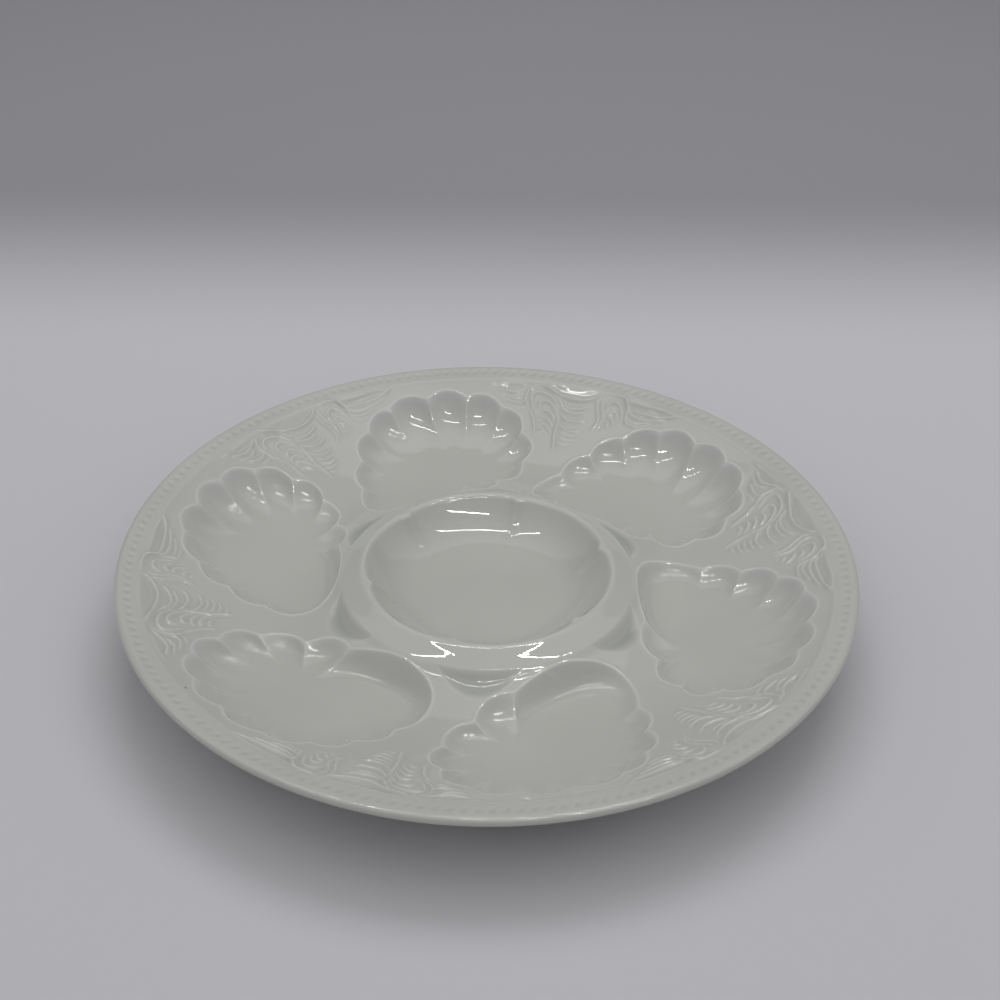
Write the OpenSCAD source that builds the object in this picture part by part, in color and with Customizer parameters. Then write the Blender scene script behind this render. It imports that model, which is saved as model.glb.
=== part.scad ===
// Oyster plate: a round porcelain plate with six fluted shell wells round a collared centre well.
// Millimetres, +Z up. The origin is the middle of the plate, on the table that it stands on.

/* [Plate] */
// Diameter over the rim
plate_d = 250; // [244:1:275]
// Height from the table to the top of the rim
plate_h = 29; // [28:0.5:34]
// Wall of the dished field and of the wells
wall_t = 4; // [3:0.25:4.5]

/* [Rim] */
// Width of the flat border band, lip included
border_w = 8.75; // [7:0.25:11]
// Drop from the top of the rim to the inner edge of the band
border_drop = 1.5; // [1:0.1:2.5]
// Height of the step from the field up to the band
border_step = 0.4; // [0.2:0.1:0.8]
// Thickness of the half-round lip
lip_t = 3.2; // [2.6:0.1:3.8]

/* [Field] */
// Radius of the lowest ring of the field between the wells
field_low_r = 71.5; // [68:0.5:75]
// Height of that ring over the floors of the wells
field_rise = 3.7; // [3:0.1:4.5]

/* [Centre well] */
// Diameter over the crest of the collar
crest_d = 87; // [84:0.5:90]
// Width of the collar from its crest to its outer edge
collar_w = 7.1; // [6:0.1:8]
// Drop of the collar's flank from the crest to that edge
collar_drop = 4; // [3:0.1:5]
// Height of the steep step under the edge
collar_step = 1.75; // [1.2:0.05:2.2]
// Depth of the centre well under the crest
centre_depth = 12; // [10:0.1:12.5]
// Height of its floor over the floors of the shell wells
centre_rise = 2.5; // [2:0.1:3.5]
// Width of its sloping wall
centre_wall_w = 16; // [13:0.5:19]
// How far its lobes swell outwards between two creases
centre_lobe_h = 1; // [0.5:0.1:1.4]
// How far each crease stands into the well on top of that
centre_crease_h = 1.1; // [0.6:0.1:1.4]

/* [Shell wells] */
// Number of shell wells
well_count = 6; // [4:1:6]
// Direction of the first well, seen from above
well_turn = 45; // [0:1:59]
// Width of a well across the plate's radius
shell_w = 71.3; // [66:0.1:73]
// Field left between a well and the border band
shoulder_w = 5.1; // [4:0.1:7]
// How far the heel's line lies inside the collar's edge
heel_tuck = 1.85; // [1.2:0.05:2]
// Rise of the floor from its lowest point to the outer wall
floor_rise = 7; // [5.5:0.1:8]

/* [Foot] */
// Diameter over the foot ring
foot_d = 140; // [132:1:146]
// Width of the foot ring
foot_w = 4.5; // [3.5:0.1:6]
// Height of the bare foot ring
foot_h = 2.2; // [1.6:0.1:3]
// Rounding of its two lower edges
foot_round = 0.8; // [0.4:0.1:1.2]
// Air between the wells' undersides and the top of the foot ring
bulge_gap = 0.8; // [0.5:0.1:1.5]

/* [Hidden] */

// Steps along the curved parts of the turned profile
field_steps = 12;
centre_steps = 8;
lip_steps = 8;
// Points on each lobe of a shell and on each stretch of its heel
lobe_steps = 5;
heel_steps = 2;
// How far a cutter runs past what it cuts
overrun = 1;

rim_r = plate_d / 2;
border_r = rim_r - border_w;
crest_r = crest_d / 2;
collar_r = crest_r + collar_w;
// The step under the collar's edge leans outwards by its own height
step_r = collar_r + collar_step;

floor_z = foot_h + bulge_gap + wall_t;
low_z = floor_z + field_rise;
centre_z = floor_z + centre_rise;
crest_z = centre_z + centre_depth;
collar_z = crest_z - collar_drop;
step_z = collar_z - collar_step;
band_z = plate_h - border_drop;
border_z = band_z - border_step;

// The field falls from the collar to its lowest ring and climbs from there to the border
inner_power = 1.9;
outer_power = 1.45;
centre_power = 1.9;

function mix(a, b, share) = a + (b - a) * share;

function field_z(r) =
    r < field_low_r
    ? mix(low_z, step_z, pow((field_low_r - r) / (field_low_r - step_r), inner_power))
    : mix(low_z, border_z, pow((r - field_low_r) / (border_r - field_low_r), outer_power));

// Height of what a well is cut into, from the collar's flank outwards
function land_z(r) =
    r < collar_r
    ? mix(crest_z, collar_z, (r - crest_r) / collar_w)
    : r < step_r ? mix(collar_z, step_z, (r - collar_r) / collar_step) : field_z(r);

function centre_wall_z(r) =
    centre_z + centre_depth * pow(max(0, 1 - (crest_r - r) / centre_wall_w), centre_power);

// The turned body: top profile from the crest out to the lip, then the back profile to the middle
lip_r = lip_t / 2;
field_top = [
    for (k = [0:field_steps])
        let (r = mix(step_r, border_r, k / field_steps))
        [r, field_z(r)]
];
lip_arc = [
    for (k = [0:lip_steps])
        let (turn = 90 - 180 * k / lip_steps)
        [rim_r - lip_r + lip_r * cos(turn), plate_h - lip_r + lip_r * sin(turn)]
];
field_back = [
    for (k = [field_steps - 1:-1:0])
        [field_top[k][0], field_top[k][1] - wall_t]
];
// Under the collar the back runs up into a shallow channel, then down to the centre well's underside
centre_back = [
    for (k = [centre_steps:-1:0])
        let (r = mix(crest_r - centre_wall_w, crest_r - wall_t, k / centre_steps))
        [r, min(centre_wall_z(r) - wall_t, step_z - wall_t)]
];

module turned_body() {
    rotate_extrude($fn = 180)
        polygon(concat(
            [[0, crest_z], [crest_r, crest_z], [collar_r, collar_z]],
            field_top,
            [[border_r, band_z]],
            lip_arc,
            field_back,
            centre_back,
            [[0, centre_z - wall_t]]
        ));
}

// Outline of a shell well, seen from above with the rim at the top and clockwise to the right.
// x is a share of the well's width, y a share of its length from the heel's line outwards.
// The flutes' ends, where two lobes meet, clockwise from the heel
cusp_shares = [
    [-0.425, 0.35], [-0.39, 0.567], [-0.318, 0.776], [-0.175, 0.928], [0.049, 0.962], [0.27, 0.936],
    [0.446, 0.812], [0.507, 0.605], [0.461, 0.393], [0.291, 0.25], [0.088, 0.14]
];
// Height of the lobe after each of them, as a share of its chord
lobe_shares = [0.2, 0.23, 0.2, 0.21, 0.22, 0.22, 0.26, 0.3, 0.24, 0.22];
// The smooth heel, from the last flute along the collar and back to the first
heel_shares = [
    [0.088, 0.14], [0, 0.088], [-0.1, 0.048], [-0.22, 0.02], [-0.322, 0.024], [-0.397, 0.066],
    [-0.44, 0.153], [-0.447, 0.252], [-0.425, 0.35]
];
// Middle of the shell's floor, where its flutes point to
middle_shares = [0.14, 0.43];

heel_y = collar_r - heel_tuck;
shell_l = border_r - shoulder_w - heel_y;
function placed(share) = [share[0] * shell_w, heel_y + share[1] * shell_l];

cusps = [for (share = cusp_shares) placed(share)];
heel = [for (share = heel_shares) placed(share)];
middle = placed(middle_shares);

// A curve through four points, between the second and the third
function through(a, b, c, d, s) =
    (2 * b + (c - a) * s + (2 * a - 5 * b + 4 * c - d) * s * s + (3 * b - a - 3 * c + d) * s * s * s) / 2;

function beyond(a, b) = 2 * a - b;

// Each outline point is [x, y, how far it lies from the flutes: 0 on one and 1 between two]
function lobe_hump(s) = 4 * s * (1 - s);
lobe_points = [
    for (i = [0:len(lobe_shares) - 1], k = [0:lobe_steps - 1])
        let (
            s = k / lobe_steps,
            chord = cusps[i + 1] - cusps[i],
            out = [-chord[1], chord[0]] * lobe_shares[i] * lobe_hump(s),
            p = mix(cusps[i], cusps[i + 1], s) + out
        )
        [p[0], p[1], lobe_hump(s)]
];
heel_last = len(heel) - 2;
heel_points = [
    for (i = [0:heel_last], k = [0:heel_steps - 1])
        let (
            s = k / heel_steps,
            before = i == 0 ? beyond(heel[0], heel[1]) : heel[i - 1],
            after = i == heel_last ? beyond(heel[i + 1], heel[i]) : heel[i + 2],
            p = through(before, heel[i], heel[i + 1], after, s)
        )
        [p[0], p[1], min(1, i + s, heel_last + 1 - i - s)]
];
outline = concat(lobe_points, heel_points);

// The floor is lowest near the heel and climbs to the outer wall
floor_low_share = 0.32;
floor_power = 1.6;
function well_floor_z(p) =
    let (share = max(0, (p[1] - heel_y) / shell_l - floor_low_share) / (1 - floor_low_share))
    floor_z + floor_rise * pow(share, floor_power);

// The wall is steep in the flutes and runs out into the floor. Between two flutes stands a ridge that
// leaves the edge level and comes down further in. The cut starts a little outside the edge and above
// it, so that it meets the land at a clear angle.
cut_share = -0.05;
ridge_share = 1.6;
ridge_high_share = 0.8;
wall_shares = [cut_share, 0.12, 0.3, 0.6, 1, ridge_share];
wall_power = 2.8;
wall_reach = 0.85;
longest_share = 0.8;
floor_shares = [0.62, 0.3];
least_wall_w = 3.5;

function wall_w(p) = least_wall_w + wall_reach * (land_z(norm([p[0], p[1]])) - well_floor_z(p));

// How high the wall still stands over the floor, as a share of its full height
function flute_height_share(share) = pow(max(0, 1 - share), wall_power);
function ridge_height_share(share) =
    let (s = max(0, share / ridge_share))
    mix(flute_height_share(share), 1 - s * s * (3 - 2 * s), s > 0 ? ridge_high_share : 0);

function inwards(p, reach) =
    let (flat = [p[0], p[1]], away = norm(flat - middle))
    mix(flat, middle, min(reach, longest_share * away) / away);

// A point of the wall at a share of its way from the edge to the floor
function wall_point(p, share) =
    let (
        q = inwards(p, share * wall_w(p)),
        top = land_z(norm([p[0], p[1]])),
        bottom = well_floor_z(q)
    )
    [q[0], q[1], mix(bottom, top, mix(ridge_height_share(share), flute_height_share(share), p[2]))];

function wall_ring(share) = [for (p = outline) wall_point(p, share)];

function floor_ring(share) = [
    for (p = outline)
        let (q = mix(middle, inwards(p, ridge_share * wall_w(p)), share))
        [q[0], q[1], well_floor_z(q)]
];

function lid_ring(z) = [for (q = wall_ring(cut_share)) [q[0], q[1], z]];

// A closed solid from rings of equal length, first ring uppermost, with a point over and under them
module ringed(rings, top, bottom) {
    n = len(rings[0]);
    m = len(rings);
    points = concat([for (ring = rings, p = ring) p], [top, bottom]);
    sides = [
        for (k = [0:m - 2], i = [0:n - 1])
            let (j = (i + 1) % n)
            each [
                [k * n + i, k * n + n + j, k * n + j],
                [k * n + i, k * n + n + i, k * n + n + j]
            ]
    ];
    lid = [for (i = [0:n - 1]) [m * n, i, (i + 1) % n]];
    base = [for (i = [0:n - 1]) [m * n + 1, (m - 1) * n + (i + 1) % n, (m - 1) * n + i]];
    polyhedron(points, concat(sides, lid, base));
}

module well_cutter() {
    top_z = plate_h + overrun;
    ringed(
        concat(
            [lid_ring(top_z)],
            [for (share = wall_shares) wall_ring(share)],
            [for (share = floor_shares) floor_ring(share)]
        ),
        [middle[0], middle[1], top_z],
        [middle[0], middle[1], well_floor_z(middle)]
    );
}

// The back of a well follows its floor at the wall's distance, without the flutes
back_points = concat(
    [for (i = [0:len(lobe_shares) - 1]) lobe_points[i * lobe_steps + floor(lobe_steps / 2)]],
    heel_points
);
back_wall_shares = [0.15, 0.4, 1];

function outwards(p) =
    let (flat = [p[0], p[1]])
    concat(flat + (flat - middle) * wall_t / norm(flat - middle), 1);

back_outline = [for (p = back_points) outwards(p)];

// Depth under the field's top at which a bulge starts, inside the field's wall
root_depth = wall_t / 4;

function root_ring(reach) = [
    for (p = back_outline)
        let (q = inwards(p, reach))
        [q[0], q[1], land_z(norm(q)) - root_depth]
];

function back_ring(share) = [for (p = back_outline) wall_point(p, share) - [0, 0, wall_t]];

module well_back() {
    floor_under = well_floor_z(middle);
    ringed(
        concat(
            [root_ring(wall_t), root_ring(0)],
            [for (share = back_wall_shares) back_ring(share)]
        ),
        [middle[0], middle[1], floor_under],
        [middle[0], middle[1], floor_under - wall_t]
    );
}

// The centre well has one lobe facing each shell well, with a crease between two lobes
centre_lobe_steps = 10;
centre_wall_shares = [cut_share, 0.12, 0.27, 0.45, 0.7, 1];
// Flat top of the crest, between the centre well's wall and the collar's flank
crest_w = 1;
centre_edge_r = crest_r - crest_w;
crease_power = 8;
function centre_inset(s) =
    let (off = 1 - lobe_hump(s))
    centre_lobe_h * off + centre_crease_h * pow(off, crease_power);

function centre_ring(share, z) = [
    for (i = [0:well_count - 1], k = [0:centre_lobe_steps - 1])
        let (
            s = k / centre_lobe_steps,
            turn = -360 * (i - 0.5 + s) / well_count,
            r = centre_edge_r - (1 - share) * centre_inset(s) - share * centre_wall_w
        )
        [r * cos(turn), r * sin(turn), z]
];

module centre_cutter() {
    top_z = plate_h + overrun;
    rotate([0, 0, well_turn])
        ringed(
            concat(
                [centre_ring(cut_share, top_z)],
                [
                    for (share = centre_wall_shares)
                        centre_ring(share, centre_z + centre_depth * pow(1 - share, centre_power))
                ]
            ),
            [0, 0, top_z],
            [0, 0, centre_z]
        );
}

module around() {
    for (i = [0:well_count - 1])
        rotate([0, 0, well_turn - 90 + 360 * i / well_count])
            children();
}

// The glazed root of the foot, from inside the field's wall down to the bare ring
foot_r = foot_d / 2;
foot_lean = 1;
module foot_root() {
    root_z = low_z - wall_t / 2;
    rotate_extrude($fn = 180)
        polygon([
            [foot_r - foot_w, foot_h], [foot_r, foot_h],
            [foot_r + foot_lean, root_z], [foot_r - foot_w - foot_lean, root_z]
        ]);
}

module plate_body() {
    color("#e6e6e0")
        difference() {
            union() {
                turned_body();
                foot_root();
                around()
                    well_back();
            }
            around()
                well_cutter();
            centre_cutter();
        }
}

module foot_ring() {
    color("#d8d2c4")
        rotate_extrude($fn = 180)
            translate([foot_r - foot_w, 0])
                polygon([
                    [foot_round, 0], [foot_w - foot_round, 0], [foot_w, foot_round],
                    [foot_w, foot_h], [0, foot_h], [0, foot_round]
                ]);
}

plate_body();
foot_ring();
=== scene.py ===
import math

import bpy
import numpy as np
from mathutils import Matrix, Vector
from mathutils.geometry import delaunay_2d_cdt


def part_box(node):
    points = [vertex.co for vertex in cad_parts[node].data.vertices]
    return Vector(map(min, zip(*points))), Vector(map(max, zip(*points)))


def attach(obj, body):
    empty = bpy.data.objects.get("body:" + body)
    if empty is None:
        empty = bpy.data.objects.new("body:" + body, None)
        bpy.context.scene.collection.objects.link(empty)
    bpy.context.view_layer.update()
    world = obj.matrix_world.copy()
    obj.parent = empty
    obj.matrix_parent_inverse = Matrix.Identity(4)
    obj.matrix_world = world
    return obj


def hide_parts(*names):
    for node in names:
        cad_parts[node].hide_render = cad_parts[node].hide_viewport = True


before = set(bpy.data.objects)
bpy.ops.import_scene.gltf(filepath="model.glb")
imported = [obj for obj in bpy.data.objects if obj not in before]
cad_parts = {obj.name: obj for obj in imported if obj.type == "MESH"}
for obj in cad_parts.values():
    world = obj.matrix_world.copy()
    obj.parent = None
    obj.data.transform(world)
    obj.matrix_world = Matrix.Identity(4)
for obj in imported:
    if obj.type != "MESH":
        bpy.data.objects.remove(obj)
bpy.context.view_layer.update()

# Sizes below are in millimetres, as the plate's drawing has them, and MM turns them into metres
MM = 0.001


def high_corner(node):
    """The highest X, Y and Z that a node reaches."""
    return [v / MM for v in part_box(node)[1]]


body_high = high_corner("plate_body")
ring_high = high_corner("foot_ring")
rim_r = max(body_high[0], body_high[1])
plate_h = body_high[2]
foot_r = max(ring_high[0], ring_high[1])
foot_h = ring_high[2]

# The plate's own sizes
wall_t = 4.0
border_w = 8.75
border_drop = 1.5
border_step = 0.4
lip_r = 1.6
field_low_r = 71.5
field_rise = 3.7
crest_r = 43.5
crest_w = 1.0
collar_w = 7.1
collar_drop = 4.0
collar_step = 1.75
centre_depth = 12.0
centre_rise = 2.5
centre_wall_w = 16.0
centre_lobe_h = 1.0
centre_crease_h = 1.1
well_count = 6
well_turn = 45.0
shell_w = 71.3
shoulder_w = 5.1
heel_tuck = 1.85
floor_rise = 7.0
foot_w = 4.5
foot_round = 0.8
bulge_gap = 0.8

border_r = rim_r - border_w
collar_r = crest_r + collar_w
step_r = collar_r + collar_step
floor_z = foot_h + bulge_gap + wall_t
low_z = floor_z + field_rise
centre_z = floor_z + centre_rise
crest_z = centre_z + centre_depth
collar_z = crest_z - collar_drop
step_z = collar_z - collar_step
band_z = plate_h - border_drop
border_z = band_z - border_step

inner_power = 1.9
outer_power = 1.45
centre_power = 1.9
floor_power = 1.6
wall_power = 2.8
wall_reach = 0.85
ridge_share = 1.6
ridge_high_share = 0.8
least_wall_w = 3.5
longest_share = 0.85
floor_low_share = 0.32

# How softly the glaze rounds the corners of the turned profile, in front and on the back, the edges
# of the shell wells, the collar's crest and the foot of the bulges on the back
GLAZE_SOFT = 0.45
BACK_SOFT = 4 * GLAZE_SOFT
EDGE_SOFT = 1.2
CREST_SOFT = 1.4
BULGE_SOFT = 3.0

# Outline of a shell well as shares of its width and length, clockwise from the heel
CUSP_SHARES = [
    (-0.425, 0.35), (-0.39, 0.567), (-0.318, 0.776), (-0.175, 0.928), (0.049, 0.962), (0.27, 0.936),
    (0.446, 0.812), (0.507, 0.605), (0.461, 0.393), (0.291, 0.25), (0.088, 0.14),
]
LOBE_SHARES = [0.2, 0.23, 0.2, 0.21, 0.22, 0.22, 0.26, 0.3, 0.24, 0.22]
HEEL_SHARES = [
    (0.088, 0.14), (0, 0.088), (-0.1, 0.048), (-0.22, 0.02), (-0.322, 0.024), (-0.397, 0.066),
    (-0.44, 0.153), (-0.447, 0.252), (-0.425, 0.35),
]
MIDDLE_SHARES = (0.14, 0.43)

# The carved waves between two wells, as shares of the rim's radius: x clockwise from the middle of
# the gap, y outwards. Each line is a raised ridge: its height, which WAVE_DEEP scales, and the
# points that it runs through.
WAVE_LINE_SHARES = [
    # The swag that hangs from crest to crest under the border
    (0.62, [(-0.075, 0.925), (-0.045, 0.915), (-0.01, 0.903), (0.03, 0.89), (0.06, 0.887),
            (0.09, 0.892), (0.115, 0.902), (0.135, 0.918)]),
    # Flames that blow to the left
    (0.3, [(-0.12, 0.918), (-0.16, 0.909), (-0.2, 0.9), (-0.24, 0.889)]),
    (0.5, [(-0.1, 0.915), (-0.12, 0.902), (-0.14, 0.888), (-0.165, 0.88), (-0.21, 0.884)]),
    (0.45, [(-0.125, 0.885), (-0.14, 0.872), (-0.16, 0.862), (-0.195, 0.865)]),
    (0.45, [(-0.115, 0.872), (-0.112, 0.858), (-0.125, 0.848), (-0.15, 0.847), (-0.18, 0.853)]),
    (0.35, [(-0.1, 0.845), (-0.115, 0.833), (-0.14, 0.83)]),
    # Arches nested in the left wave
    (0.5, [(-0.088, 0.83), (-0.1, 0.847), (-0.108, 0.865), (-0.11, 0.885), (-0.103, 0.903),
           (-0.085, 0.917)]),
    (0.5, [(-0.07, 0.83), (-0.082, 0.85), (-0.092, 0.87), (-0.09, 0.887), (-0.078, 0.895),
           (-0.055, 0.895), (-0.03, 0.887), (-0.012, 0.873), (0, 0.855), (0.006, 0.838)]),
    (0.4, [(-0.02, 0.897), (-0.003, 0.882), (0.008, 0.863), (0.014, 0.845)]),
    (0.5, [(-0.055, 0.838), (-0.062, 0.853), (-0.058, 0.866), (-0.045, 0.871), (-0.028, 0.867),
           (-0.013, 0.855), (-0.003, 0.84), (0.003, 0.822)]),
    (0.5, [(-0.045, 0.818), (-0.046, 0.83), (-0.034, 0.837), (-0.018, 0.832), (-0.008, 0.82),
           (0.002, 0.8)]),
    (0.45, [(-0.052, 0.8), (-0.045, 0.81), (-0.028, 0.811), (-0.012, 0.8), (0, 0.782)]),
    (0.4, [(-0.05, 0.78), (-0.04, 0.789), (-0.025, 0.788), (-0.01, 0.775), (0.002, 0.755)]),
    (0.35, [(-0.045, 0.758), (-0.035, 0.766), (-0.022, 0.763), (-0.008, 0.748)]),
    (0.45, [(-0.088, 0.838), (-0.078, 0.815), (-0.065, 0.795), (-0.058, 0.77), (-0.05, 0.745)]),
    (0.45, [(0.006, 0.838), (0.01, 0.81), (0.01, 0.78), (0.012, 0.75), (0.018, 0.72),
            (0.02, 0.695)]),
    # Troughs nested under the swag
    (0.5, [(-0.002, 0.885), (0.01, 0.868), (0.03, 0.857), (0.055, 0.855), (0.08, 0.86),
           (0.1, 0.872)]),
    (0.45, [(0.008, 0.863), (0.02, 0.85), (0.04, 0.842), (0.065, 0.841), (0.09, 0.85)]),
    (0.5, [(0.012, 0.842), (0.022, 0.826), (0.045, 0.814), (0.07, 0.812), (0.1, 0.822)]),
    (0.45, [(0.015, 0.81), (0.025, 0.793), (0.045, 0.779), (0.07, 0.777), (0.092, 0.785)]),
    (0.4, [(0.022, 0.78), (0.035, 0.768), (0.055, 0.762), (0.08, 0.766)]),
    (0.4, [(0.024, 0.762), (0.035, 0.75), (0.06, 0.744), (0.083, 0.752)]),
    (0.35, [(0.022, 0.74), (0.04, 0.731), (0.062, 0.731), (0.078, 0.738)]),
    (0.3, [(0.022, 0.722), (0.038, 0.713), (0.058, 0.714)]),
    # Arches nested in the right wave
    (0.5, [(0.128, 0.905), (0.122, 0.885), (0.126, 0.862), (0.134, 0.842), (0.137, 0.82),
           (0.13, 0.8), (0.12, 0.785)]),
    (0.4, [(0.14, 0.905), (0.138, 0.885), (0.142, 0.865), (0.15, 0.845), (0.15, 0.825),
           (0.143, 0.805), (0.135, 0.79)]),
    (0.5, [(0.155, 0.858), (0.157, 0.875), (0.167, 0.888), (0.182, 0.89), (0.196, 0.882),
           (0.205, 0.863), (0.209, 0.842), (0.212, 0.822)]),
    (0.45, [(0.165, 0.846), (0.172, 0.857), (0.185, 0.857), (0.195, 0.845), (0.2, 0.826)]),
    (0.45, [(0.16, 0.828), (0.168, 0.838), (0.18, 0.833), (0.188, 0.815), (0.19, 0.798)]),
    (0.4, [(0.155, 0.808), (0.163, 0.814), (0.173, 0.806), (0.178, 0.79)]),
    (0.35, [(0.15, 0.79), (0.158, 0.795), (0.166, 0.785)]),
    # Flames that blow to the right
    (0.3, [(0.15, 0.922), (0.19, 0.915), (0.23, 0.897), (0.28, 0.882), (0.33, 0.868),
           (0.392, 0.842)]),
    (0.5, [(0.205, 0.912), (0.216, 0.892), (0.224, 0.868), (0.222, 0.845), (0.225, 0.825),
           (0.235, 0.812)]),
    (0.55, [(0.208, 0.908), (0.222, 0.885), (0.24, 0.867), (0.265, 0.858), (0.3, 0.85),
            (0.345, 0.842), (0.392, 0.841)]),
    (0.45, [(0.222, 0.88), (0.23, 0.862), (0.245, 0.848), (0.27, 0.838), (0.31, 0.832),
            (0.35, 0.831)]),
    (0.45, [(0.222, 0.852), (0.232, 0.836), (0.25, 0.826), (0.28, 0.822), (0.31, 0.822)]),
    (0.4, [(0.224, 0.832), (0.236, 0.819), (0.255, 0.812), (0.275, 0.811)]),
]
# Broad hollows beside them: each one's depth, scaled likewise, and the middle of its run
HOLLOW_LINE_SHARES = [
    (0.4, [(-0.03, 0.92), (0, 0.912), (0.03, 0.907), (0.06, 0.905), (0.09, 0.908), (0.115, 0.914)]),
    (0.32, [(0.225, 0.893), (0.25, 0.876), (0.28, 0.867), (0.315, 0.859), (0.35, 0.851)]),
    (0.25, [(-0.13, 0.908), (-0.15, 0.9), (-0.18, 0.893), (-0.21, 0.89)]),
]
# Two corners of the box that holds them, and the size of a cell of the map that they are drawn on
WAVE_BOX_SHARES = ((-0.3, 0.64), (0.46, 0.96))
WAVE_CELL = 0.15
WAVE_DEEP = 1.75
# How wide a ridge, the sunk ground along it and a hollow spread, and the sunk ground's share of the
# ridge's height
WAVE_HALF_W = 0.46
SINK_HALF_W = 1.6
HOLLOW_HALF_W = 1.15
SINK_SHARE = 0.33
# The stretch over which a line's ends fade, and the share of its height that is left at the tip
WAVE_TAPER = 2.2
WAVE_TIP_SHARE = 0.15

# The row of small dents on the border band, which lean by so many degrees
DENT_COUNT = 192
DENT_R_SHARE = 0.965
DENT_L = 2.5
DENT_W = 1.9
DENT_DEEP = 0.34
DENT_LEAN = 40.0
DENT_POWER = 1.3

# Points on each lobe of a shell, and the spacing of those along its heel
LOBE_STEPS = 24
HEEL_STEP = 0.5

# Blurs, in degrees round a well: of a ridge at its top and at its foot, and of the outline at the
# floor. Then how soon down the wall a ridge blurs, and how far the floor's outline does.
RIDGE_SOFT = 1.5
FOOT_SOFT = 9.0
FLOOR_SOFT = 4.0
FOOT_POWER = 0.4
FLOOR_MIX = 0.5

# Half the width of a crease in the centre well's wall, and how far that wall runs on over the crest
CREASE_W = 2.2
CREST_OVERRUN = 0.3

# How far the collar's flank waves about a straight line
FLANK_WAVE = 0.05

# The lens-shaped hollow at the collar's foot between two wells. It lies so many degrees clockwise
# from a well's axis. POCKET_DEEP is a scale: with these powers, the deepest point is 0.09 of it.
POCKET_TURN = 18.0
POCKET_R = 50.4
POCKET_HALF_L = 14.0
POCKET_W = 9.0
POCKET_DEEP = 12.0
POCKET_IN_POWER = 1.5
POCKET_OUT_POWER = 2

# The low bead of glaze round the mouth of a shell well
BEAD_W = 0.95
BEAD_H = 0.35

# What makes the glaze thin or thick at a point, and where light and shade are painted into it: how
# far it stands over the rings of points round it, each with its radius and weight, how steep it is,
# which paints light onto steep walls to lift their shade, the beads, and the hollows, which paint
# shade into the collar's hollows
FILM_RINGS = ((0.8, 2.0), (3.0, 0.15))
RING_POINTS = 8
# Painted light: how much lighter the steep walls of the shells are made, which lifts their shade
STEEP_PAINTED_LIGHT = 0.95
BEAD_FILM = 0.6
# Painted shade: how much darker the hollows at the collar's foot are made
POCKET_PAINTED_SHADE = 0.85


def mix(a, b, share):
    return a + (b - a) * share


def soft_min(a, b, reach):
    """The lower of two heights, with the corner between them rounded over reach."""
    share = np.clip(0.5 + 0.5 * (b - a) / reach, 0, 1)
    return mix(b, a, share) - reach * share * (1 - share)


def curve_through(points, step):
    """A smooth curve through the points, as points that lie about step apart."""
    points = np.array(points, float)
    ends = [2 * points[0] - points[1]], [2 * points[-1] - points[-2]]
    rail = np.concatenate([ends[0], points, ends[1]])
    pieces = []
    for a, b, c, d in zip(rail, rail[1:], rail[2:], rail[3:]):
        count = max(2, int(np.ceil(np.linalg.norm(c - b) / step)))
        s = np.linspace(0, 1, count, endpoint=False)[:, None]
        square, cube = 2 * a - 5 * b + 4 * c - d, 3 * b - a - 3 * c + d
        pieces.append((2 * b + (c - a) * s + square * s**2 + cube * s**3) / 2)
    return np.concatenate(pieces + [points[-1:]])


def blurred(values, reach_cells, axis):
    """The values with a bell-shaped blur along one axis."""
    half = int(np.ceil(3.5 * reach_cells))
    bell = np.exp(-0.5 * (np.arange(-half, half + 1) / reach_cells) ** 2)
    bell /= bell.sum()
    return np.apply_along_axis(lambda row: np.convolve(row, bell, "same"), axis, values)


# The turned profile


def field_z(r):
    """The field, which climbs from its lowest ring both to the collar and to the border."""
    inwards = np.maximum(field_low_r - r, 0) / (field_low_r - step_r)
    outwards = np.maximum(r - field_low_r, 0) / (border_r - field_low_r)
    inner = mix(low_z, step_z, inwards**inner_power)
    outer = mix(low_z, border_z, outwards**outer_power)
    return np.where(r < field_low_r, inner, outer)


def band_and_lip_z(r):
    """The flat border band, which runs up to the round lip and touches it."""
    away = np.array([rim_r - lip_r - border_r, plate_h - lip_r - band_z])
    lean = math.atan2(away[1], away[0]) + math.asin(lip_r / np.linalg.norm(away))
    touch_r = rim_r - lip_r - lip_r * math.sin(lean)
    band = band_z + (r - border_r) * math.tan(lean)
    arc = plate_h - lip_r + np.sqrt(np.maximum(lip_r**2 - (r - rim_r + lip_r) ** 2, 0))
    return np.where(r < touch_r, band, arc)


def sharp_land_z(r):
    """The whole upper profile, with sharp corners and without the wells."""
    share = (r - crest_r) / collar_w
    flank = mix(crest_z, collar_z, share) - FLANK_WAVE * np.sin(2 * math.pi * share)
    step = mix(collar_z, step_z, (r - collar_r) / collar_step)
    choices = [r < crest_r, r < collar_r, r < step_r, r < border_r]
    heights = [np.full_like(r, crest_z), flank, step, field_z(r)]
    return np.select(choices, heights, band_and_lip_z(r))


PROFILE_STEP = 0.05
PROFILE_PAD = 200


def soft_profile(heights, reach):
    """The heights along a profile, blurred over reach, with its two ends where they were."""
    padded = np.pad(heights, PROFILE_PAD, mode="reflect", reflect_type="odd")
    return blurred(padded, reach / PROFILE_STEP, 0)[PROFILE_PAD:-PROFILE_PAD]


profile_r = np.arange(0, rim_r - lip_r / 4, PROFILE_STEP)
profile_z = soft_profile(sharp_land_z(profile_r), GLAZE_SOFT)


def land_z(r):
    return np.interp(r, profile_r, profile_z)


# The shell wells

heel_y = collar_r - heel_tuck
shell_l = border_r - shoulder_w - heel_y


def placed(share):
    return np.array([share[0] * shell_w, heel_y + share[1] * shell_l])


middle = placed(MIDDLE_SHARES)


def well_floor_z(y):
    share = np.maximum(0, (y - heel_y) / shell_l - floor_low_share) / (1 - floor_low_share)
    return floor_z + floor_rise * share**floor_power


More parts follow.
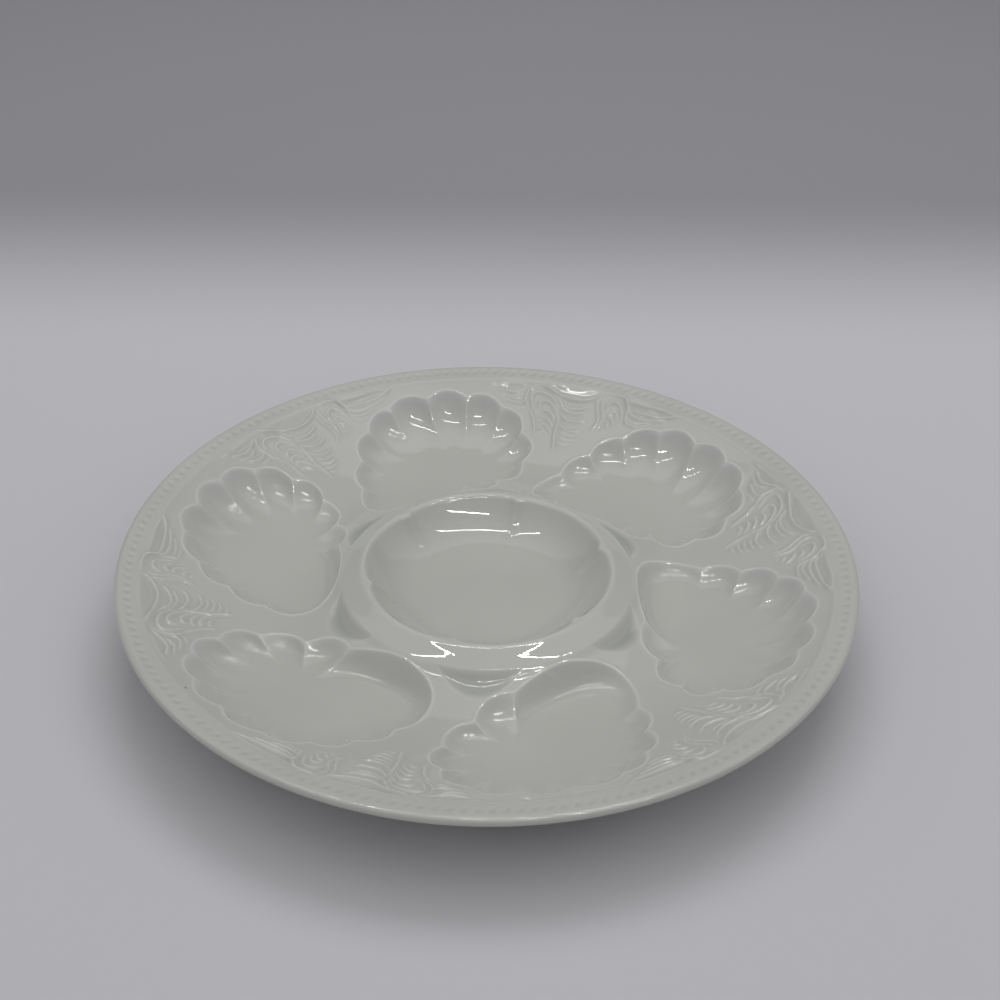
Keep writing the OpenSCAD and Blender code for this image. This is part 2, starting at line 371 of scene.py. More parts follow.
def shell_outline():
    """Points round a shell, and each one's place: 0 on a ridge and 1 in the middle of a flute."""
    points, between = [], []
    steps = np.linspace(0, 1, LOBE_STEPS, endpoint=False)
    for a, b, rise in zip(CUSP_SHARES, CUSP_SHARES[1:], LOBE_SHARES):
        a, b = placed(a), placed(b)
        out = np.array([a[1] - b[1], b[0] - a[0]]) * rise
        for s in steps:
            points.append(mix(a, b, s) + out * 4 * s * (1 - s))
            between.append(1 - (2 * s - 1) ** 4)
    heel = curve_through([placed(share) for share in HEEL_SHARES], HEEL_STEP)[:-1]
    along = np.linspace(0, len(HEEL_SHARES) - 1, len(heel), endpoint=False)
    ends = np.minimum(1, np.minimum(along, len(HEEL_SHARES) - 1 - along))
    points += list(heel)
    between += list(1 - (1 - ends) ** 4)
    return np.array(points), np.array(between)


class Shell:
    """A shell as seen from its middle, in tables over the direction, clockwise from outwards."""

    COUNT = 1440

    def __init__(self, points, between):
        away = points - middle
        turn = np.arctan2(away[:, 0], away[:, 1])
        self.turn = np.arange(self.COUNT) / self.COUNT * 2 * math.pi

        def table(values):
            return np.interp(self.turn, turn, values, period=2 * math.pi)

        self.reach = table(np.hypot(away[:, 0], away[:, 1]))
        self.top = table(land_z(np.hypot(points[:, 0], points[:, 1])))
        self.between = self.softened(table(between), RIDGE_SOFT)
        self.soft_between = self.softened(self.between, FOOT_SOFT)
        drop = self.top - well_floor_z(self.reach * np.cos(self.turn) + middle[1])
        wall = np.minimum(least_wall_w + wall_reach * drop, longest_share * self.reach)
        self.wall = self.softened(wall, FLOOR_SOFT)
        self.soft_reach = self.softened(self.reach, FLOOR_SOFT)

    def softened(self, values, degrees):
        """The same table, blurred."""
        wide = np.pad(values, self.COUNT // 4, mode="wrap")
        return blurred(wide, degrees / 360 * self.COUNT, 0)[self.COUNT // 4:-self.COUNT // 4]

    def along(self, table, turn):
        return np.interp(turn, self.turn, table, period=2 * math.pi)

    def bead(self, x, y):
        """Height of the bead of glaze along the outline."""
        turn = np.arctan2(x - middle[0], y - middle[1])
        off = np.hypot(x - middle[0], y - middle[1]) - self.along(self.reach, turn)
        return BEAD_H * np.exp(-(off / BEAD_W) ** 2)

    def height(self, x, y):
        """Height of the well's surface, which climbs on past the outline."""
        turn = np.arctan2(x - middle[0], y - middle[1])
        away = np.hypot(x - middle[0], y - middle[1])
        reach, wall = self.along(self.reach, turn), self.along(self.wall, turn)
        depth = np.clip((reach - away) / wall, 0, 1)
        reach = mix(reach, self.along(self.soft_reach, turn), FLOOR_MIX * depth)
        share = np.clip((reach - away) / wall, -1, ridge_share)
        flute = np.maximum(1 - share, 0) ** wall_power
        fall = np.maximum(share, 0) / ridge_share
        ridge = np.where(share > 0, 1 - fall**2 * (3 - 2 * fall), flute)
        ridge = mix(flute, ridge, ridge_high_share)
        sharp, soft = self.along(self.between, turn), self.along(self.soft_between, turn)
        between = mix(sharp, soft, depth**FOOT_POWER)
        return mix(well_floor_z(y), self.along(self.top, turn), mix(ridge, flute, between))


shell_points, shell_between = shell_outline()
shell_top = Shell(shell_points, shell_between)
outset = shell_points - middle
outset *= 1 + wall_t / np.linalg.norm(outset, axis=1)[:, None]
shell_back = Shell(middle + outset, np.ones(len(outset)))


# The carved waves, drawn once as a fine map of heights


def strokes(lines, half_w, low, shape):
    """A map of soft strokes along the lines, each as high in its middle as its number says."""
    heights = np.zeros(shape)
    for height, shares in lines:
        line = curve_through(np.array(shares) * rim_r, WAVE_CELL)
        steps = np.linalg.norm(np.diff(line, axis=0), axis=1)
        run = np.concatenate([[0], np.cumsum(steps)])
        taper = np.clip(np.minimum(run, run[-1] - run) / WAVE_TAPER, WAVE_TIP_SHARE, 1)
        weight = height * taper * np.gradient(run) / WAVE_CELL
        cell = (line - low) / WAVE_CELL
        first = np.floor(cell).astype(int)
        part = cell - first
        for i in (0, 1):
            for j in (0, 1):
                share = np.abs(1 - i - part[:, 0]) * np.abs(1 - j - part[:, 1])
                np.add.at(heights, (first[:, 0] + i, first[:, 1] + j), weight * share)
    reach = half_w / WAVE_CELL
    return blurred(blurred(heights, reach, 0), reach, 1) * reach * math.sqrt(2 * math.pi)


def wave_map():
    """The carving: thin ridges over ground that is sunk wherever they run, with broad hollows."""
    low, high = np.array(WAVE_BOX_SHARES) * rim_r
    shape = np.ceil((high - low) / WAVE_CELL).astype(int)
    ridges = strokes(WAVE_LINE_SHARES, WAVE_HALF_W, low, shape)
    sunk = strokes(WAVE_LINE_SHARES, SINK_HALF_W, low, shape)
    hollows = strokes(HOLLOW_LINE_SHARES, HOLLOW_HALF_W, low, shape)
    return low, WAVE_DEEP * (ridges - SINK_SHARE * sunk - hollows)


wave_low, wave_heights = wave_map()


def wave_z(x, y):
    """Height of the carving at points given from the middle of a gap."""
    i = (x - wave_low[0]) / WAVE_CELL
    j = (y - wave_low[1]) / WAVE_CELL
    inside = (i > 0) & (j > 0) & (i < wave_heights.shape[0] - 2) & (j < wave_heights.shape[1] - 2)
    i, j = np.where(inside, i, 0), np.where(inside, j, 0)
    a, b = i.astype(int), j.astype(int)
    s, t = i - a, j - b
    near = mix(wave_heights[a, b], wave_heights[a, b + 1], t)
    far = mix(wave_heights[a + 1, b], wave_heights[a + 1, b + 1], t)
    return np.where(inside, mix(near, far, s), 0)


def turned(x, y, degrees):
    c, s = math.cos(math.radians(degrees)), math.sin(math.radians(degrees))
    return x * c - y * s, x * s + y * c


# The row of dents and the centre well


def dent_z(x, y, r):
    """The row of slanting oval dents."""
    pitch = 2 * math.pi / DENT_COUNT
    turn = np.arctan2(x, y)
    across = (turn / pitch - np.floor(turn / pitch) - 0.5) * pitch * r
    out = r - DENT_R_SHARE * rim_r
    c, s = math.cos(math.radians(DENT_LEAN)), math.sin(math.radians(DENT_LEAN))
    u, v = (out * c + across * s) / DENT_L, (across * c - out * s) / DENT_W
    return -DENT_DEEP * np.exp(-((2 * u) ** 2 + (2 * v) ** 2) ** DENT_POWER)


def pocket_z(x, y, r):
    """The lens-shaped hollows between the collar and the wells' heels, steep at the collar."""
    half = math.pi / well_count
    off = (np.arctan2(x, y) - math.radians(POCKET_TURN) + half) % (2 * half) - half
    lens = np.maximum(1 - (off * r / POCKET_HALF_L) ** 2, 1e-3)
    share = np.clip((r - POCKET_R) / (POCKET_W * lens), 0, 1)
    return -POCKET_DEEP * lens * share**POCKET_IN_POWER * (1 - share) ** POCKET_OUT_POWER


def centre_well_z(x, y, r):
    """The centre well's surface, with a crease in its wall on each line between two shell wells."""
    lobe = np.arctan2(x, y) / (2 * math.pi / well_count)
    s = lobe - np.floor(lobe + 0.5) + 0.5
    off = (0.5 - np.abs(s - 0.5)) * 2 * math.pi / well_count * crest_r
    inset = centre_lobe_h * (1 - 4 * s * (1 - s)) + centre_crease_h * np.exp(-(off / CREASE_W) ** 2)
    edge = crest_r - crest_w - inset
    share = np.clip((edge - r) / (centre_wall_w - inset), -CREST_OVERRUN, 1)
    return centre_z + centre_depth * (1 - share) ** centre_power


def top_z(x, y):
    """Height of the plate's upper side in one sector: x clockwise, y along the well's axis."""
    r = np.hypot(x, y)
    z = land_z(r) + dent_z(x, y, r) + pocket_z(x, y, r) + shell_top.bead(x, y)
    half = 180 / well_count
    for turn in (-half, half):
        gap_x, gap_y = turned(x, y, turn)
        z = z + wave_z(gap_x, gap_y)
    above_all = 2 * plate_h
    z = soft_min(z, np.where(r > crest_r, shell_top.height(x, y), above_all), EDGE_SOFT)
    return soft_min(z, np.where(r < collar_r, centre_well_z(x, y, r), above_all), CREST_SOFT)


def field_back_z(r):
    """Height of the back of the field and of the centre well, without the bulges."""
    wall_share = np.clip(1 - (crest_r - r) / centre_wall_w, 0, 1)
    under_collar = np.minimum(centre_z + centre_depth * wall_share**centre_power, step_z)
    field = np.where(r < step_r, under_collar, field_z(np.minimum(r, border_r)))
    lip_z = plate_h - 2 * lip_r
    share = np.clip((r - border_r) / (rim_r - lip_r - border_r), 0, 1)
    return mix(field - wall_t, lip_z, share)


back_r = np.arange(0, rim_r, PROFILE_STEP)
back_z = soft_profile(field_back_z(back_r), BACK_SOFT)


def back_side_z(x, y):
    """Height of the plate's back, with the bulges of the wells."""
    r = np.hypot(x, y)
    bulge = np.where(r > crest_r - wall_t, shell_back.height(x, y) - wall_t, plate_h)
    return soft_min(np.interp(r, back_r, back_z), bulge, BULGE_SOFT)


# The meshes


def slopes(height, x, y, reach=0.08):
    """Unit normals of a height function."""
    dx = (height(x + reach, y) - height(x - reach, y)) / (2 * reach)
    dy = (height(x, y + reach) - height(x, y - reach)) / (2 * reach)
    long = np.sqrt(1 + dx**2 + dy**2)
    return np.stack([-dx / long, -dy / long, 1 / long], -1)


def film_and_painted_light_of(x, y, upright):
    """How thin the glaze lies, with painted light and shade added: above 0 on edges and ridges and
    where light is painted on steep walls, below 0 where it pools in hollows and where shade is
    painted into the collar's hollows.

    On a steep wall heights bend more than the surface does, so upright, the normals' Z, takes that
    out. The steep walls of the shells are made lighter with painted light, which lifts their shade.
    """
    film_and_painted_light = np.zeros(x.shape)
    for reach, share in FILM_RINGS:
        around = np.zeros(x.shape)
        for turn in np.arange(RING_POINTS) * 2 * math.pi / RING_POINTS:
            there = top_z(x + reach * math.cos(turn), y + reach * math.sin(turn))
            around += there / RING_POINTS
        film_and_painted_light += share * (top_z(x, y) - around)
    r = np.hypot(x, y)
    # Painted light on the shells' steep walls, to lift their shade
    painted_wall_light = np.where(r > crest_r, STEEP_PAINTED_LIGHT * (1 - upright), 0)
    beads = BEAD_FILM * shell_top.bead(x, y)
    # The pocket term paints shade into the hollows at the collar's foot
    return np.clip(film_and_painted_light * upright**3 + painted_wall_light + beads + POCKET_PAINTED_SHADE * pocket_z(x, y, r), -1, 1)


# Spacing of the finest points and how often it may double, how far a face may leave the surface,
# the gap along a sector's edge as a share of the spacing, the bare middle round the centre point,
# the numbers of points round the rim and of steps over the lip, and how far apart the rows of a
# triangular grid lie
FINEST = 0.45
COARSEST_LEVEL = 3
FLAT_ENOUGH = 0.008
GAP_SHARE = 0.3
HUB_R = 1.0
RIM_COUNT = 480
LIP_STEPS = 9
ROW_SHARE = math.sqrt(0.75)


def halvings(index):
    """How many times an index can be halved, up to the coarsest level."""
    level = np.zeros(index.shape, int)
    for power in range(1, COARSEST_LEVEL + 1):
        level[index % 2**power == 0] = power
    return level


def sector_points():
    """Points of one sector, on nested triangular grids, finer where the surface bends more."""
    reach_x, reach_y = rim_r * math.sin(math.pi / well_count), rim_r
    rows = np.arange(0, int(reach_y / (FINEST * ROW_SHARE)) + 2)
    columns = np.arange(-int(reach_x / FINEST) - len(rows) // 2 - 2, int(reach_x / FINEST) + 3)
    i, j = np.meshgrid(columns, rows, indexing="ij")
    x, y = (i + j / 2) * FINEST, j * FINEST * ROW_SHARE
    z = top_z(x, y)
    bend = np.zeros(z.shape)
    for di, dj in ((1, 0), (0, 1), (1, -1)):
        ahead = np.roll(z, (-di, -dj), (0, 1))
        behind = np.roll(z, (di, dj), (0, 1))
        bend = np.maximum(bend, np.abs(ahead + behind - 2 * z) / FINEST**2)
    spread = bend
    for di, dj in ((1, 0), (0, 1), (1, -1), (-1, 0), (0, -1), (-1, 1)):
        spread = np.maximum(spread, np.roll(bend, (di, dj), (0, 1)))
    spacing = np.sqrt(8 * FLAT_ENOUGH / np.maximum(spread, 1e-6))
    wanted = np.floor(np.log2(np.maximum(spacing / FINEST, 1)))
    wanted = np.clip(wanted, 0, COARSEST_LEVEL).astype(int)
    level = np.minimum(halvings(i), halvings(j))
    turn = np.arctan2(x, y)
    r = np.hypot(x, y)
    half = math.pi / well_count
    room = r * np.sin(half - np.abs(turn))
    gap = GAP_SHARE * FINEST * 2.0 ** np.minimum(level, wanted)
    inside = (np.abs(turn) < half) & (room > gap) & (r < rim_r - lip_r - 2 * gap) & (r > HUB_R)
    keep = inside & (level >= wanted)
    return x[keep], y[keep]


def to_plate(points, index):
    """Turns a sector's points or normals to the place of one well on the plate."""
    az = math.radians(well_turn + 360 / well_count * index)
    c, s = math.cos(az), math.sin(az)
    x, y = points[:, 0], points[:, 1]
    return np.stack([x * s + y * c, -x * c + y * s, points[:, 2]], -1)


def rim_directions():
    """Clockwise angles of the points round the rim, from the middle of a well, in one sector."""
    count = RIM_COUNT // well_count
    return (np.arange(count) / count - 0.5) * 2 * math.pi / well_count


def ring_of(r, z_of, flip=False):
    """Points and normals of one ring, clockwise. z_of gives the height at x and y."""
    turn = rim_directions()
    x, y = r * np.sin(turn), r * np.cos(turn)
    z = z_of(x, y)
    normals = slopes(z_of, x, y)
    if flip:
        normals = -normals
    points = np.stack([x, y, z], -1)
    return (
        np.concatenate([to_plate(points, -k) for k in range(well_count)]),
        np.concatenate([to_plate(normals, -k) for k in range(well_count)]),
    )


def plate_mesh():
    """The glazed body as one closed mesh: points, normals, faces and the first points' film, with
    its painted light and shade.
    """
    x, y = sector_points()
    points = np.stack([x, y, top_z(x, y)], -1)
    normals = slopes(top_z, x, y)
    film_and_painted_light = np.tile(film_and_painted_light_of(x, y, normals[:, 2]), well_count)
    all_points = [to_plate(points, k) for k in range(well_count)]
    all_normals = [to_plate(normals, k) for k in range(well_count)]
    all_points.append(np.array([[0, 0, float(top_z(np.zeros(1), np.zeros(1))[0])]]))
    all_normals.append(np.array([[0.0, 0, 1]]))
    rim_points, rim_normals = ring_of(rim_r - lip_r, top_z)
    first_rim = sum(len(p) for p in all_points)
    all_points.append(rim_points)
    all_normals.append(rim_normals)
    top = np.concatenate(all_points)
    flat = [Vector((p[0], p[1])) for p in top]
    made = delaunay_2d_cdt(flat, [], [], 0, 1e-7)
    origin = np.array([o[0] for o in made[3]])
    faces = [tuple(origin[list(face)]) for face in made[2]]

    # The lip, then the back, ring by ring towards the middle
    rings = [first_rim + np.arange(RIM_COUNT)]
    count = len(top)
    azimuth = np.arctan2(rim_points[:, 1], rim_points[:, 0])
    outwards = np.stack([np.cos(azimuth), np.sin(azimuth), np.zeros(RIM_COUNT)], -1)
    up = np.array([0, 0, 1.0])
    for k in range(1, LIP_STEPS):
        tilt = math.pi / 2 - math.pi * k / LIP_STEPS
        direction = outwards * math.cos(tilt) + up * math.sin(tilt)
        centre = outwards * (rim_r - lip_r) + up * (plate_h - lip_r)
        all_points.append(centre + direction * lip_r)
        all_normals.append(direction)
        rings.append(count + np.arange(RIM_COUNT))
        count += RIM_COUNT
    for r, share in back_rings():
        ring, normal = ring_of(r, back_side_z, flip=True)
        ring[:, 2] = mix(ring[:, 2], foot_h, share)
        if share > 0:
            side = 1 if r > foot_r - foot_w / 2 else -1
            lean = outwards * side * 4 * share * (1 - share)
            normal = normal * (1 - share) + lean - up * share
            normal /= np.linalg.norm(normal, axis=1)[:, None]
        all_points.append(ring)
        all_normals.append(normal)
        rings.append(count + np.arange(RIM_COUNT))
        count += RIM_COUNT
    around = np.roll(np.arange(RIM_COUNT), -1)
    for outer, inner in zip(rings, rings[1:]):
        faces += [tuple(f) for f in np.stack([outer, outer[around], inner[around], inner], -1)]
    all_points.append(np.array([[0, 0, float(back_side_z(np.zeros(1), np.zeros(1))[0])]]))
    all_normals.append(np.array([[0, 0, -1.0]]))
    faces += [(a, b, count) for a, b in zip(rings[-1], rings[-1][around])]
    return np.concatenate(all_points), np.concatenate(all_normals), faces, film_and_painted_light


# Rings of points beside the foot: how far beside it, and how far drawn down to its seat
FLARE = [(1.6, 0), (0.9, 0.1), (0.45, 0.35), (0.2, 0.7), (0, 1)]
# Where the plain rings keep off the lip, the foot and the middle, and their numbers outside and
# inside the foot
LIP_CLEAR = 0.4
FOOT_CLEAR = 4.0
LAST_RING_R = 3.0
OUTER_RINGS = 24
INNER_RINGS = 26


def back_rings():
    """Radius of each ring on the back and how far it is drawn down to the foot's seat."""
    inner_r = foot_r - foot_w
    first_r = rim_r - lip_r - LIP_CLEAR
    rings = [(r, 0) for r in np.linspace(first_r, foot_r + FOOT_CLEAR, OUTER_RINGS)]
    rings += [(foot_r + reach, share) for reach, share in FLARE]
    rings += [(inner_r - reach, share) for reach, share in reversed(FLARE)]
    rings += [(r, 0) for r in np.linspace(inner_r - FOOT_CLEAR, LAST_RING_R, INNER_RINGS)]
    return rings


def mesh_piece(name, points, normals, faces):
    """A mesh object in metres, smooth, with the given normals where there are any."""
    mesh = bpy.data.meshes.new(name)
    mesh.from_pydata((points * MM).tolist(), [], faces)
    mesh.shade_smooth()
    if normals is not None:
        mesh.normals_split_custom_set_from_vertices(normals.tolist())
    piece = bpy.data.objects.new(name, mesh)
    bpy.context.scene.collection.objects.link(piece)
    return piece


def make_body():
    """The glazed body, with its film of glaze and its painted light and shade as a value at each
    point.
    """
    points, normals, faces, film_and_painted_light = plate_mesh()
    piece = mesh_piece("glazed_body", points, normals, faces)
    whole_film_and_painted_light = np.zeros(len(points), np.float32)
    whole_film_and_painted_light[:len(film_and_painted_light)] = film_and_painted_light
    piece.data.attributes.new("film_and_painted_light", "FLOAT", "POINT").data.foreach_set("value", whole_film_and_painted_light)
    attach(piece, "root")
    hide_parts("plate_body")
    return piece


# Points round the foot ring and over each rounded edge, and the angle at which an edge stays sharp
FOOT_COUNT = 240
FOOT_CORNER_STEPS = 6
SHARP_DEGREES = 40


def make_foot():
    """The bare ring that the plate stands on, turned, with both lower edges rounded."""
    inner_r = foot_r - foot_w
    corner = np.radians(np.linspace(0, 90, FOOT_CORNER_STEPS))
    arc = [(foot_round * math.cos(t), foot_round * math.sin(t)) for t in corner]
    profile = [(foot_r, foot_h)]
    profile += [(foot_r - foot_round + c, foot_round - s) for c, s in arc]
    profile += [(inner_r + foot_round - s, foot_round - c) for c, s in arc]
    profile += [(inner_r, foot_h)]
    count = FOOT_COUNT
    turn = np.arange(count) / count * 2 * math.pi
    points = np.concatenate([np.stack([r * np.cos(turn), r * np.sin(turn), np.full(count, z)], -1)
                             for r, z in profile])
    faces = []
    for k in range(len(profile)):
        here = k * count
        there = (k + 1) % len(profile) * count
        for i in range(count):
            j = (i + 1) % count
            faces.append((here + i, there + i, there + j, here + j))
    piece = mesh_piece("bare_foot_ring", points, None, faces)
    piece.data.set_sharp_from_angle(angle=math.radians(SHARP_DEGREES))
    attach(piece, "root")
    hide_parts("foot_ring")
    return piece


# Materials. Colours are as they show on a screen, 0 to 255.

GLAZE_TONES = ((182, 183, 177), (186, 186, 181))
# The pooled tone also paints shade into the collar's hollows, and the thin tone paints light onto
# the shells' steep walls
GLAZE_POOLED_AND_PAINTED_SHADE = (161, 164, 158)
GLAZE_THIN_AND_PAINTED_LIGHT = (200, 201, 198)
SPECK_TONE = (96, 92, 84)
BISCUIT_TONES = ((196, 190, 176), (208, 203, 192))
FLOOR_TONE = (196, 196, 200)
BACKDROP_TONE = (146, 145, 149)

# The random numbers between which a cell comes to hold a speck, and how far a speck reaches in it
SPECK_FROM = (0.9, 0.92)
SPECK_REACH = (0.014, 0.026)
# Waves or cells per metre, and heights in metres
GLAZE_CLOUDS, GLAZE_GLOSS, GLAZE_RIPPLE, SPECK_CELLS = 26, 90, 70, 55
GLAZE_ROUGHNESS = (0.004, 0.02)
GLAZE_IOR = 1.52
RIPPLE_H = 0.00003
BISCUIT_GRAIN, BISCUIT_CLOUDS = 2600, 60
BISCUIT_ROUGHNESS = (0.7, 0.9)
GRAIN_H = 0.00012


def srgb(r, g, b):
    """A colour written as it shows on a screen, 0 to 255, turned into linear light."""
    def linear(v):
        v /= 255
        return v / 12.92 if v <= 0.04045 else ((v + 0.055) / 1.055) ** 2.4
    return linear(r), linear(g), linear(b), 1


def new_material(name):
    material = bpy.data.materials.new(name)
    material.use_nodes = True
    shader = material.node_tree.nodes["Principled BSDF"]
    return material, material.node_tree, shader


def noise(tree, scale, detail):
    """A noise over the object's own coordinates, scale in waves per metre."""
    place = tree.nodes.new("ShaderNodeTexCoord")
    node = tree.nodes.new("ShaderNodeTexNoise")
    node.inputs["Scale"].default_value = scale
    node.inputs["Detail"].default_value = detail
    tree.links.new(place.outputs["Object"], node.inputs["Vector"])
    return node.outputs["Fac"]


def ranged(tree, value, from_low, from_high, to_low=0, to_high=1):
    """The value, stretched from one range to the other and held inside it."""
    node = tree.nodes.new("ShaderNodeMapRange")
    tree.links.new(value, node.inputs["Value"])
    ends = {"From Min": from_low, "From Max": from_high, "To Min": to_low, "To Max": to_high}
    for name, number in ends.items():
        node.inputs[name].default_value = number
    return node.outputs["Result"]


def blended(tree, share, low, high):
    """A colour between low and high, each of which is a colour or another node's output."""
    node = tree.nodes.new("ShaderNodeMix")
    node.data_type = "RGBA"
    tree.links.new(share, node.inputs["Factor"])
    for socket, value in ((node.inputs[6], low), (node.inputs[7], high)):
        if isinstance(value, tuple):
            socket.default_value = value
        else:
            tree.links.new(value, socket)
    return node.outputs[2]


def bumped(tree, shader, value, distance):
    node = tree.nodes.new("ShaderNodeBump")
    node.inputs["Distance"].default_value = distance
    tree.links.new(value, node.inputs["Height"])
    tree.links.new(node.outputs["Normal"], shader.inputs["Normal"])


def glaze():
    """White glaze, greyer where it pools and lighter where it thins, with painted shade in the
    collar's hollows, painted light on the shells' steep walls, and a few kiln specks.
    """
    material, tree, shader = new_material("glaze")
    film_and_painted_light = tree.nodes.new("ShaderNodeAttribute")
    film_and_painted_light.attribute_name = "film_and_painted_light"
    # Painted light and shade ride on the film: painted shade in the collar's hollows, painted light
    # on the shells' steep walls
    unpooled_and_unshaded = ranged(tree, film_and_painted_light.outputs["Fac"], -1, 0)
    thinned_and_painted_light = ranged(tree, film_and_painted_light.outputs["Fac"], 0, 0.8)
    cloud = ranged(tree, noise(tree, GLAZE_CLOUDS, 3), 0.35, 0.65)
    body = blended(tree, cloud, *(srgb(*tone) for tone in GLAZE_TONES))
    body = blended(tree, unpooled_and_unshaded, srgb(*GLAZE_POOLED_AND_PAINTED_SHADE), body)
    body = blended(tree, thinned_and_painted_light, body, srgb(*GLAZE_THIN_AND_PAINTED_LIGHT))
    place = tree.nodes.new("ShaderNodeTexCoord")
    cells = tree.nodes.new("ShaderNodeTexVoronoi")
    cells.inputs["Scale"].default_value = SPECK_CELLS
    tree.links.new(place.outputs["Object"], cells.inputs["Vector"])
    pick = tree.nodes.new("ShaderNodeSeparateColor")
    tree.links.new(cells.outputs["Color"], pick.inputs["Color"])
    chosen = ranged(tree, pick.outputs["Red"], *SPECK_FROM)
    near = ranged(tree, cells.outputs["Distance"], *SPECK_REACH, 1, 0)
    speck = tree.nodes.new("ShaderNodeMath")
    speck.operation = "MULTIPLY"
    tree.links.new(chosen, speck.inputs[0])
    tree.links.new(near, speck.inputs[1])
    body = blended(tree, speck.outputs["Value"], body, srgb(*SPECK_TONE))
    tree.links.new(body, shader.inputs["Base Color"])
    gloss = ranged(tree, noise(tree, GLAZE_GLOSS, 2), 0.3, 0.7, *GLAZE_ROUGHNESS)
    tree.links.new(gloss, shader.inputs["Roughness"])
    shader.inputs["IOR"].default_value = GLAZE_IOR
    bumped(tree, shader, noise(tree, GLAZE_RIPPLE, 1), RIPPLE_H)
    return material


def biscuit():
    """Bare ground porcelain: warm, grainy and dull."""
    material, tree, shader = new_material("biscuit")
    grain = noise(tree, BISCUIT_GRAIN, 3)
    cloud = ranged(tree, noise(tree, BISCUIT_CLOUDS, 3), 0.3, 0.7)
    body = blended(tree, cloud, *(srgb(*tone) for tone in BISCUIT_TONES))
    tree.links.new(body, shader.inputs["Base Color"])
    dull = ranged(tree, grain, 0.3, 0.7, *BISCUIT_ROUGHNESS)
    tree.links.new(dull, shader.inputs["Roughness"])
    bumped(tree, shader, grain, GRAIN_H)
    return material


# Floor and lights, in metres, and the camera

# Where the floor starts, where it bends up, where the backdrop stands, and the stretch behind the
# plate over which it turns greyer
FLOOR_FRONT, BEND_Y, WALL_Y = -3.0, 1.2, 2.4
FADE_Y = (0.19, 0.38)
STAGE_HALF_W = 4.0
STAGE_H = 4.0
BEND_STEPS = 15

# The tent's light at the horizon and overhead, and its strength
TENT_LOW = (0.22, 0.22, 0.23, 1)
TENT_TOP = (1.0, 1.0, 1.0, 1)
TENT_STRENGTH = 0.91

# Lamps: place, aim, length, width and watts, and whether a lamp shows in the glaze
LAMPS = {
    "strip_front": ((0.17, -0.36, 0.5), (0.17, -0.36, 0), 0.43, 0.01, 1.2, True),
    "strip_back": ((0.03, -0.08, 0.5), (0.03, -0.08, 0), 0.7, 0.008, 1.0, True),
    "key": ((0.1, 0.5, 1.1), (0, 0, 0), 0.9, 0.5, 4.0, False),
}


def make_stage():
    """A pale floor that bends up into a greyer backdrop."""
    bend_r = WALL_Y - BEND_Y
    turns = np.radians(np.linspace(90 / BEND_STEPS, 90, BEND_STEPS))
    rows = [(FLOOR_FRONT, 0), (BEND_Y, 0)]
    rows += [(mix(BEND_Y, WALL_Y, math.sin(t)), bend_r * (1 - math.cos(t))) for t in turns]
    rows += [(WALL_Y, STAGE_H)]
    points = np.array([(x, y, z) for y, z in rows for x in (-STAGE_HALF_W, STAGE_HALF_W)]) / MM
    faces = [(2 * k, 2 * k + 1, 2 * k + 3, 2 * k + 2) for k in range(len(rows) - 1)]
    piece = mesh_piece("floor", points, None, faces)
    material, tree, shader = new_material("floor_paper")
    shader.inputs["Roughness"].default_value = 0.9
    shader.inputs["Specular IOR Level"].default_value = 0.2
    place = tree.nodes.new("ShaderNodeTexCoord")
    split = tree.nodes.new("ShaderNodeSeparateXYZ")
    tree.links.new(place.outputs["Object"], split.inputs["Vector"])
    depth = ranged(tree, split.outputs["Y"], *FADE_Y)
    depth.node.interpolation_type = "SMOOTHSTEP"
    colour = blended(tree, depth, srgb(*FLOOR_TONE), srgb(*BACKDROP_TONE))
    tree.links.new(colour, shader.inputs["Base Color"])
    piece.data.materials.append(material)


def area_light(name, place, aim, size_x, size_y, power, glossy):
    """A lamp that shows in the glaze, or one that only lights the surfaces."""
    lamp = bpy.data.lights.new(name, "AREA")
    lamp.shape = "RECTANGLE"
    lamp.size, lamp.size_y = size_x, size_y
    lamp.energy = power
    light = bpy.data.objects.new(name, lamp)
    light.location = place
    light.rotation_euler = (Vector(place) - Vector(aim)).to_track_quat("Z", "Y").to_euler()
    light.visible_glossy = glossy
    light.visible_diffuse = not glossy
    bpy.context.scene.collection.objects.link(light)


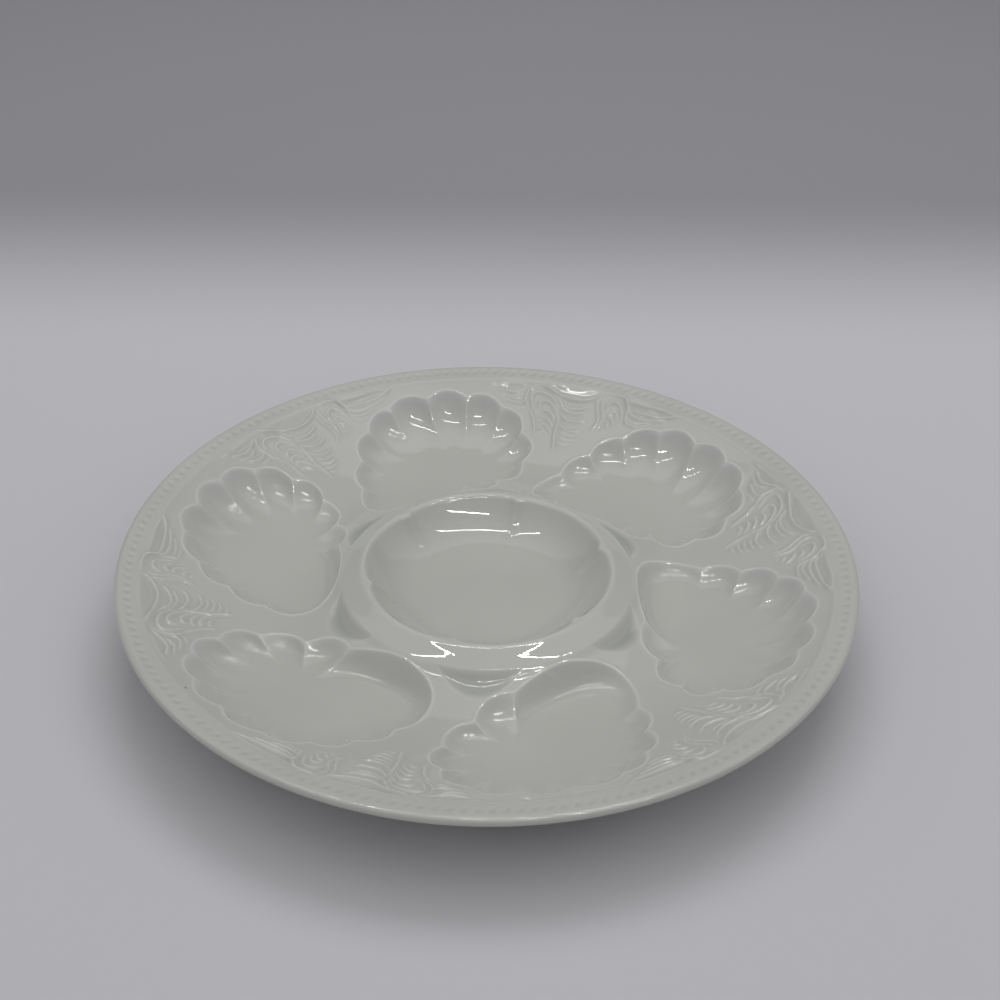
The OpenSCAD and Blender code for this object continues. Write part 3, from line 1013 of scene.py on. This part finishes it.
def make_lights():
    """A grey tent, brightest overhead, with thin lamps under its top."""
    world = bpy.data.worlds.new("tent")
    world.use_nodes = True
    tree = world.node_tree
    direction = tree.nodes.new("ShaderNodeTexCoord")
    split = tree.nodes.new("ShaderNodeSeparateXYZ")
    tree.links.new(direction.outputs["Generated"], split.inputs["Vector"])
    height = ranged(tree, split.outputs["Z"], 0.0, 1.0)
    colour = blended(tree, height, TENT_LOW, TENT_TOP)
    tree.links.new(colour, tree.nodes["Background"].inputs["Color"])
    tree.nodes["Background"].inputs["Strength"].default_value = TENT_STRENGTH
    bpy.context.scene.world = world
    for name, settings in LAMPS.items():
        area_light(name, *settings)


# The camera as worked out from the photograph, in plate radii and radians
CAMERA_AWAY_SHARE = 3.1996
CAMERA_OVER_RIM_SHARE = 2.3745
CAMERA_PAN = 0.0097
CAMERA_TILT = 0.6065
CAMERA_ROLL = 0.0155
CAMERA_FOCAL_PX = 1456.9
PHOTO_PX = 1000
SENSOR_W = 36.0


def make_camera():
    lens = bpy.data.cameras.new("camera")
    lens.sensor_width = SENSOR_W
    lens.lens = CAMERA_FOCAL_PX / PHOTO_PX * SENSOR_W
    camera = bpy.data.objects.new("camera", lens)
    flat = math.cos(CAMERA_TILT)
    forward = Vector((math.sin(CAMERA_PAN) * flat, math.cos(CAMERA_PAN) * flat,
                      -math.sin(CAMERA_TILT)))
    level = Vector((math.cos(CAMERA_PAN), -math.sin(CAMERA_PAN), 0))
    upright = level.cross(forward)
    right = level * math.cos(CAMERA_ROLL) + upright * math.sin(CAMERA_ROLL)
    up = upright * math.cos(CAMERA_ROLL) - level * math.sin(CAMERA_ROLL)
    turn = Matrix((right, up, -forward)).transposed().to_4x4()
    place = Vector((0, -CAMERA_AWAY_SHARE * rim_r, plate_h + CAMERA_OVER_RIM_SHARE * rim_r)) * MM
    camera.matrix_world = Matrix.Translation(place) @ turn
    bpy.context.scene.collection.objects.link(camera)
    bpy.context.scene.camera = camera


body = make_body()
body.data.materials.append(glaze())
foot = make_foot()
foot.data.materials.append(biscuit())
make_stage()
make_lights()
make_camera()
bpy.context.scene.view_settings.view_transform = "Standard"
